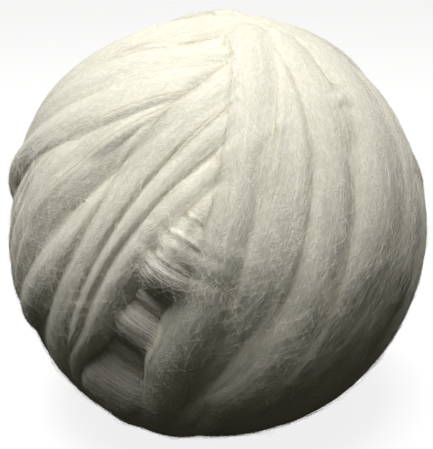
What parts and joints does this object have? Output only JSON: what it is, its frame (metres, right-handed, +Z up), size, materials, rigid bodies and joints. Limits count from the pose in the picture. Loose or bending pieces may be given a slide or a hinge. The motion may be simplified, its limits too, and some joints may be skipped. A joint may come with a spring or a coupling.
{
  "type": "ball of super chunky roving yarn",
  "caption": "Large hand-wound ball of thick unspun cream wool roving: fans of broad strands cross one another, part to show the layer beneath, and rest on a small flat spot.",
  "frame": {"origin": "middle of the flat spot that the ball rests on, under the ball's centre", "axes": "+Z up, -Y towards the parting that shows the under layer, +X to the right of someone facing the parting"},
  "size_m": [0.2749, 0.2769, 0.2739],
  "materials": {
    "roving": "matte, soft, with the faint silky sheen of combed wool fibres along each strand"
  },
  "bodies": {
    "root": {"wound_ball": "roving"}
  },
  "joints": []
}
